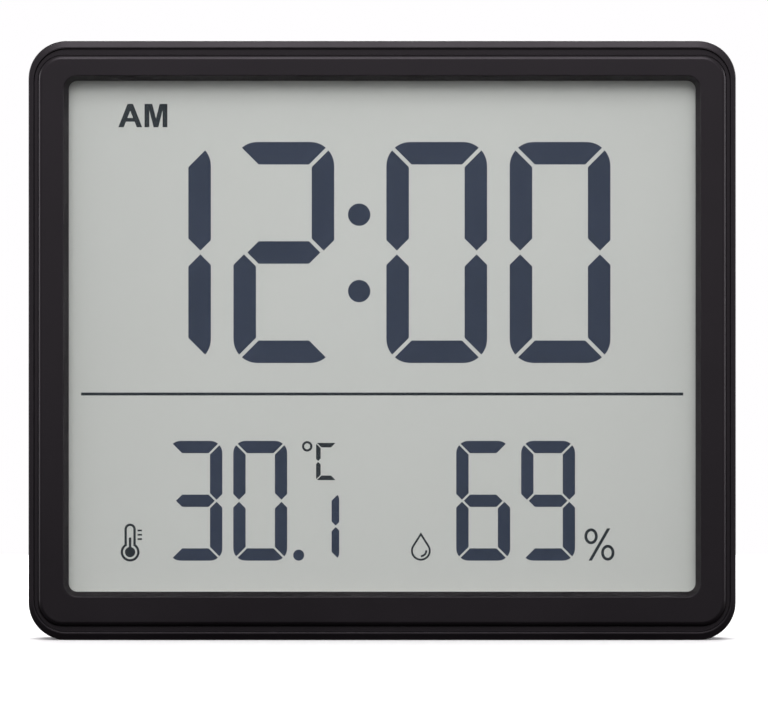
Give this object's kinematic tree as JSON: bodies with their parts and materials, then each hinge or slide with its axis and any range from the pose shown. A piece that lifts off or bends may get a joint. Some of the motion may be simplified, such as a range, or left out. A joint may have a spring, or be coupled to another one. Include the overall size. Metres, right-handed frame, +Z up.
{
  "type": "thermometer hygrometer clock",
  "caption": "Slim upright digital clock with temperature and humidity on one large segment display, fold-out stand, battery door, rear buttons and a wall keyhole.",
  "frame": {"origin": "middle of the underside of the case, midway between its front and back faces", "axes": "+X to the viewer's right across the display, +Z up, the display faces -Y"},
  "size_m": [0.142, 0.018, 0.1203],
  "materials": {
    "case_plastic": "fine matt moulded ABS, black",
    "bezel_plastic": "fine matt moulded ABS, black, slightly smoother",
    "button_rubber": "satin moulded ABS, dark grey",
    "gasket_foam": "black closed-cell foam",
    "film": "satin polariser film",
    "glass": "thin soda-lime glass",
    "seal": "cured epoxy seal",
    "segments": "switched liquid crystal, navy black",
    "reflector": "pearly grey-green reflector film",
    "carrier_plastic": "natural white ABS",
    "elastomer": "striped silicone contact strip",
    "board": "green solder mask",
    "epoxy": "black bonding epoxy",
    "can_metal": "tin-plated can",
    "chip_ceramic": "ceramic with tinned ends",
    "sensor_plastic": "white sensor housing",
    "bead": "epoxy bead",
    "switch_plastic": "black switch body",
    "plunger_plastic": "acetal",
    "cell_wrap": "printed shrink wrap, plain bands",
    "spring_steel": "nickel-plated spring steel",
    "pin_steel": "ground steel",
    "screw_steel": "zinc-plated steel, dark"
  },
  "bodies": {
    "case": {"rear_case": "case_plastic", "front_bezel": "bezel_plastic", "window_gasket": "gasket_foam", "front_polariser": "film", "front_glass": "glass", "display_seal": "seal", "time_segments": "segments", "temperature_segments": "segments", "humidity_segments": "segments", "display_marks": "segments", "display_divider": "segments", "rear_glass": "glass", "rear_reflector": "reflector", "display_carrier": "carrier_plastic", "contact_strip": "elastomer", "main_board": "board", "controller_blob": "epoxy", "clock_crystal": "can_metal", "chip_components": "chip_ceramic", "humidity_sensor": "sensor_plastic", "temperature_sensor": "bead", "tact_switches": "switch_plastic", "cell_left": "cell_wrap", "cell_right": "cell_wrap", "negative_contact": "spring_steel", "positive_contact": "spring_steel", "link_contact": "spring_steel", "negative_spring": "spring_steel", "link_spring": "spring_steel", "stand_pin": "pin_steel", "case_screws": "screw_steel", "board_screws": "screw_steel"},
    "stand": {"stand_leg": "case_plastic"},
    "door": {"battery_door": "case_plastic"},
    "down_key": {"down_button": "button_rubber", "down_plunger": "plunger_plastic"},
    "up_key": {"up_button": "button_rubber", "up_plunger": "plunger_plastic"},
    "set_key": {"set_button": "button_rubber", "set_plunger": "plunger_plastic"},
    "mode_key": {"mode_button": "button_rubber", "mode_plunger": "plunger_plastic"}
  },
  "joints": [
    {"name": "stand_fold", "type": "hinge", "parent": "case", "child": "stand", "pos_m": [0, 0.0074, 0.064], "axis": [1, 0, 0], "range_deg": [0, 28]},
    {"name": "door_tilt", "type": "hinge", "parent": "case", "child": "door", "pos_m": [0.042, 0.009, 0.0848], "axis": [1, 0, 0], "range_deg": [0, 80]},
    {"name": "down_press", "type": "slide", "parent": "case", "child": "down_key", "axis": [0, -1, 0], "range_m": [0, 0.0005], "stiffness_N_per_m": 1500, "springref_m": -0.0001},
    {"name": "up_press", "type": "slide", "parent": "case", "child": "up_key", "axis": [0, -1, 0], "range_m": [0, 0.0005], "stiffness_N_per_m": 1500, "springref_m": -0.0001},
    {"name": "set_press", "type": "slide", "parent": "case", "child": "set_key", "axis": [0, -1, 0], "range_m": [0, 0.0005], "stiffness_N_per_m": 1500, "springref_m": -0.0001},
    {"name": "mode_press", "type": "slide", "parent": "case", "child": "mode_key", "axis": [0, -1, 0], "range_m": [0, 0.0005], "stiffness_N_per_m": 1500, "springref_m": -0.0001}
  ]
}
